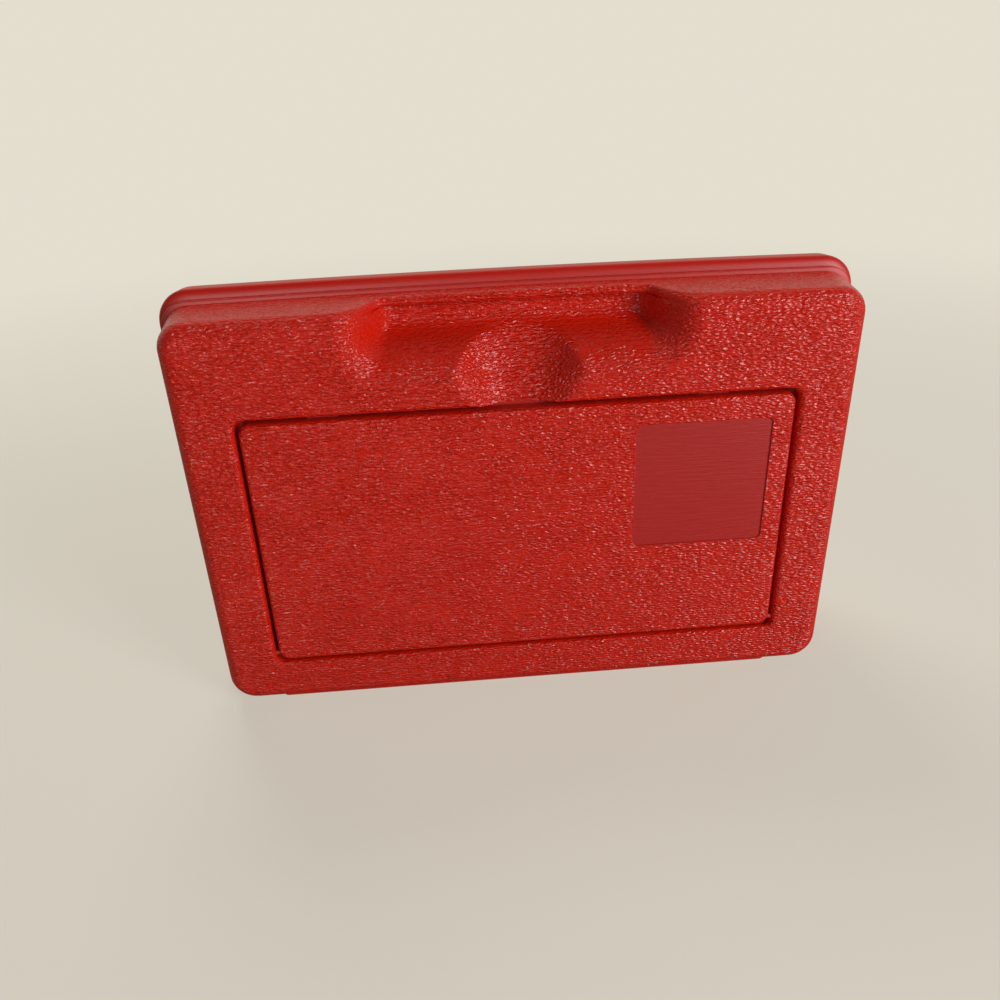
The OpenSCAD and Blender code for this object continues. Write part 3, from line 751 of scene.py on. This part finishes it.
label_low, label_high = LABEL_X - LABEL_HALF, LABEL_X + LABEL_HALF
edge = panel.half - panel.high_r
columns = (steps(-panel.half, -edge, 0.9) + steps(-edge, label_low - LABEL_BAND, 10)
           + steps(label_low - LABEL_BAND, label_low + LABEL_BAND, 0.6)
           + steps(label_low + LABEL_BAND, label_high - LABEL_BAND, 10)
           + steps(label_high - LABEL_BAND, label_high + LABEL_BAND, 0.6)
           + steps(label_high + LABEL_BAND, edge, 4)
           + steps(edge, panel.half, 0.9) + [panel.half])
rows = (steps(panel.low, panel.low + panel.low_r, 0.9)
        + steps(panel.low + panel.low_r, label.low - LABEL_BAND, 10)
        + steps(label.low - LABEL_BAND, label.low + LABEL_BAND, 0.6)
        + steps(label.low + LABEL_BAND, label.high - LABEL_BAND, 10)
        + steps(label.high - LABEL_BAND, label.high + LABEL_BAND, 0.6)
        + steps(label.high + LABEL_BAND, panel.high - panel.high_r, 4)
        + steps(panel.high - panel.high_r, panel.high, 0.9) + [panel.high])
door = bmesh.new()
door.verts.layers.float_vector.new("home")
RIB_T = 1.6
RIB_FRONT_Y = FRONT_Y + 1.9
RIB_BACK_Y = FRONT_Y + 4.9
DOOR_PIN_Y = FRONT_Y + 3.2
NOSE_X = 88.0               # the two snap noses on the door's top edge
NOSE_HALF = 7.0
for x in (-DOOR_HALF / 3, DOOR_HALF / 3):
    add_box(door, (x - RIB_T / 2, RIB_FRONT_Y, DOOR_LOW + 1),
            (x + RIB_T / 2, RIB_BACK_Y, DOOR_HIGH - 1), 0.25, 0, SMOOTH)
middle = (DOOR_LOW + DOOR_HIGH) / 2
add_box(door, (1 - DOOR_HALF, RIB_FRONT_Y, middle - RIB_T / 2),
        (DOOR_HALF - 1, RIB_BACK_Y, middle + RIB_T / 2), 0.25, 0, SMOOTH)
for side in (-1, 1):
    inner, outer = sorted((side * (DOOR_HALF - 12.5), side * (DOOR_HALF - 4.4)))
    add_tube(door, (inner, DOOR_PIN_Y, DOOR_PIN_Z), (outer, DOOR_PIN_Y, DOOR_PIN_Z),
             KNUCKLE_R, PIN_R + 0.02, SMOOTH)
    add_box(door, (side * NOSE_X - NOSE_HALF, FRONT_Y + 5.6, DOOR_HIGH - 1),
            (side * NOSE_X + NOSE_HALF, FRONT_Y + 7.3, DOOR_HIGH + 0.8), 0.4, 0, SMOOTH)
rim, label_rim = add_sheet(door, columns, rows, door_face, (LABEL_X, LABEL_HALF, label.low, label.high))
for turn in (math.radians(22.5 * k) for k in range(1, 5)):
    rim = add_row(door, rim, door_row(DOOR_SOFT * math.sin(turn), DOOR_SOFT * (1 - math.cos(turn))))
for out, depth in ((DOOR_SOFT, DOOR_D - 0.3), (DOOR_SOFT - 0.3, DOOR_D),
                   (DOOR_SOFT - DOOR_EDGE, DOOR_D), (DOOR_SOFT - DOOR_EDGE, DOOR_SKIN)):
    rim = add_row(door, rim, door_row(out, depth), SMOOTH)
inside = bmesh.ops.contextual_create(door, geom=rim)["faces"]
for out, depth in ((-0.08, 0.04), (-0.2, 0.2), (-0.35, LABEL_D - 0.12), (-0.5, LABEL_D)):
    label_rim = add_row(door, label_rim, label_row(out, depth), FIELD)
field = bmesh.ops.contextual_create(door, geom=label_rim)["faces"]
for f in inside:
    f.material_index = SMOOTH
for f in field:
    f.material_index = FIELD
bmesh.ops.recalc_face_normals(door, faces=door.faces)

lined_red = moulded_plastic("lined label field", (0.42, 0.010, 0.008, 1), 0.40, drift=0.03)
tree = lined_red.node_tree
place = add_node(tree, "ShaderNodeTexCoord").outputs["Object"]
drawn = add_node(tree, "ShaderNodeMapping", {0: place, 3: (60, 60, 1600)}).outputs[0]
cuts = noise(tree, drawn, 1.0, 2.0)
bump = next(node for node in tree.nodes if node.bl_idname == "ShaderNodeBump")
bump.inputs["Distance"].default_value = 0.00022
bump.inputs["Strength"].default_value = 1.0
tree.links.new(cuts, bump.inputs["Height"])
finish_piece(door, "door", [grained_red, smooth_red, lined_red], "door",
             ["door_panel"])

# ---- Hinge pins ------------------------------------------------------------------------
# Two steel wires run through the knuckles under the case; the door turns on two short
# plastic pins that are moulded fast in its lower corners.


def drawn_steel(name):
    """Drawn wire: bright grey with fine lengthwise scratches."""
    material = bpy.data.materials.new(name)
    material.use_nodes = True
    tree = material.node_tree
    shader = tree.nodes["Principled BSDF"]
    shader.inputs["Base Color"].default_value = (0.56, 0.55, 0.53, 1)
    shader.inputs["Metallic"].default_value = 1.0
    place = add_node(tree, "ShaderNodeTexCoord").outputs["Object"]
    drawn = add_node(tree, "ShaderNodeMapping", {0: place, 3: (40, 2500, 2500)}).outputs[0]
    streaks = noise(tree, drawn, 1.0, 3.0)
    tree.links.new(add_node(tree, "ShaderNodeMapRange", {0: streaks, 3: 0.2, 4: 0.45}).outputs[0],
                   shader.inputs["Roughness"])
    bump = add_node(tree, "ShaderNodeBump", {"Strength": 0.4, "Distance": 0.00002, "Height": streaks})
    tree.links.new(bump.outputs[0], shader.inputs["Normal"])
    return material


def finish_node(name, material):
    """Gives a piece that comes as the CAD made it its own material."""
    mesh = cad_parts[name].data
    mesh.materials.clear()
    mesh.materials.append(material)


steel = drawn_steel("drawn steel")
for name in ("case_pin_left", "case_pin_right"):
    finish_node(name, steel)
for name in ("door_pin_left", "door_pin_right"):
    finish_node(name, smooth_red)

# ---- Pocket behind the door ------------------------------------------------------------
# A shallow pocket moulded in thinner red plastic, held to the front half by six screws.

liner_red = moulded_plastic("pocket plastic", (0.44, 0.010, 0.003, 1), 0.42, depth=0.00016,
                            drift=0.04)
finish_node("pocket_liner", liner_red)
finish_node("liner_screws", steel)

# ---- Sorting tray ----------------------------------------------------------------------
# The lift-out tray in the rear half: polystyrene, a shade lighter and glossier than the
# case, with four loose dividers that slide in its slots.

tray_red = moulded_plastic("tray plastic", (0.58, 0.016, 0.006, 1), 0.22, depth=0.00012, drift=0.03)
finish_node("sorting_tray", tray_red)
for name in ("tray_divider_1", "tray_divider_2", "tray_divider_3", "tray_divider_4"):
    finish_node(name, tray_red)

# ---- Studio ----------------------------------------------------------------------------
# A plain pale floor and backdrop, a soft window light from the right, a small far window
# whose light only glints in the grain, and a weak ceiling light from above and behind.


def area_lamp(name, place, aim, size, power, colour):
    data = bpy.data.lights.new(name, "AREA")
    data.shape = "RECTANGLE"
    data.size, data.size_y = size
    data.energy = power
    data.color = colour
    lamp = bpy.data.objects.new(name, data)
    lamp.location = place
    lamp.rotation_euler = (Vector(aim) - Vector(place)).to_track_quat("-Z", "Y").to_euler()
    bpy.context.scene.collection.objects.link(lamp)
    return lamp


BACKDROP = (0.77, 0.73, 0.62, 1)

area_lamp("window", (1.18, -1.20, 0.58), (0, 0, 0.12), (0.6, 0.95), 21, (0.96, 0.97, 1.0))
sparkle = area_lamp("far window", (-0.45, -1.28, 0.55), (-0.05, 0, 0.12), (0.3, 0.3), 4.2,
                    (1.0, 0.97, 0.98))
sparkle.visible_diffuse = False
ceiling = area_lamp("ceiling", (-0.25, 0.70, 1.20), (0, 0, 0.12), (0.6, 0.6), 8, (1.0, 0.96, 0.90))
ceiling.visible_glossy = False
world = bpy.data.worlds.new("room")
world.use_nodes = True
tree = world.node_tree
background = tree.nodes["Background"]
rays = add_node(tree, "ShaderNodeLightPath").outputs
mirror = maths(tree, "MAXIMUM", rays["Is Glossy Ray"], rays["Is Transmission Ray"])
seen = maths(tree, "MAXIMUM", rays["Is Camera Ray"], mirror)
towards = add_node(tree, "ShaderNodeSeparateXYZ",
                   {0: add_node(tree, "ShaderNodeTexCoord").outputs["Generated"]}).outputs
sheen = add_node(tree, "ShaderNodeMapRange",
                 {0: towards["Y"], 1: -0.1, 2: 0.5, 3: 0.03, 4: 0.9}).outputs[0]
soft = add_node(tree, "ShaderNodeMapRange",
                {0: towards["Z"], 1: 0.05, 2: 0.45, 3: 0.9, 4: 0.03}).outputs[0]
level = add_node(tree, "ShaderNodeMix", {0: mirror, 2: soft, 3: sheen}).outputs[0]
level = add_node(tree, "ShaderNodeMix", {0: rays["Is Camera Ray"], 2: level, 3: 1.0}).outputs[0]
tint = add_node(tree, "ShaderNodeMix", {0: seen, 6: (1.0, 0.98, 0.94, 1), 7: BACKDROP},
                data_type="RGBA").outputs[2]
tree.links.new(tint, background.inputs["Color"])
tree.links.new(level, background.inputs["Strength"])
bpy.context.scene.world = world
bpy.context.scene.view_settings.view_transform = "Standard"

floor_mesh = bpy.data.meshes.new("floor")
bm = bmesh.new()
bmesh.ops.create_grid(bm, x_segments=1, y_segments=1, size=4)
bm.to_mesh(floor_mesh)
bm.free()
floor = bpy.data.objects.new("floor", floor_mesh)
bpy.context.scene.collection.objects.link(floor)
floor_material = bpy.data.materials.new("floor")
floor_material.use_nodes = True
tree = floor_material.node_tree
shader = tree.nodes["Principled BSDF"]
shader.inputs["Roughness"].default_value = 0.55
rays = add_node(tree, "ShaderNodeLightPath").outputs
seen = rays["Is Camera Ray"]
away = add_node(tree, "ShaderNodeVectorMath",
                {0: add_node(tree, "ShaderNodeTexCoord").outputs["Object"], 1: (1, 1, 0)},
                operation="MULTIPLY").outputs[0]
away = add_node(tree, "ShaderNodeVectorMath", {0: away}, operation="LENGTH").outputs["Value"]
far = add_node(tree, "ShaderNodeMapRange", {0: away, 1: 0.25, 2: 1.3, 3: 0.6, 4: 1.0},
               interpolation_type="SMOOTHSTEP").outputs[0]
shown = maths(tree, "MULTIPLY", far, seen)
bounced = add_node(tree, "ShaderNodeMix", {0: rays["Is Glossy Ray"], 6: (0.80, 0.66, 0.54, 1),
                                           7: (0.34, 0.25, 0.18, 1)}, data_type="RGBA").outputs[2]
shown_colour = add_node(tree, "ShaderNodeMix", {0: seen, 6: bounced, 7: (0.80, 0.75, 0.66, 1)},
                        data_type="RGBA").outputs[2]
tree.links.new(shown_colour, shader.inputs["Base Color"])
glow = add_node(tree, "ShaderNodeEmission", {0: BACKDROP, 1: 1.0})
blend = add_node(tree, "ShaderNodeMixShader", {0: shown, 1: shader.outputs[0], 2: glow.outputs[0]})
tree.links.new(blend.outputs[0], tree.nodes["Material Output"].inputs["Surface"])
floor_mesh.materials.append(floor_material)
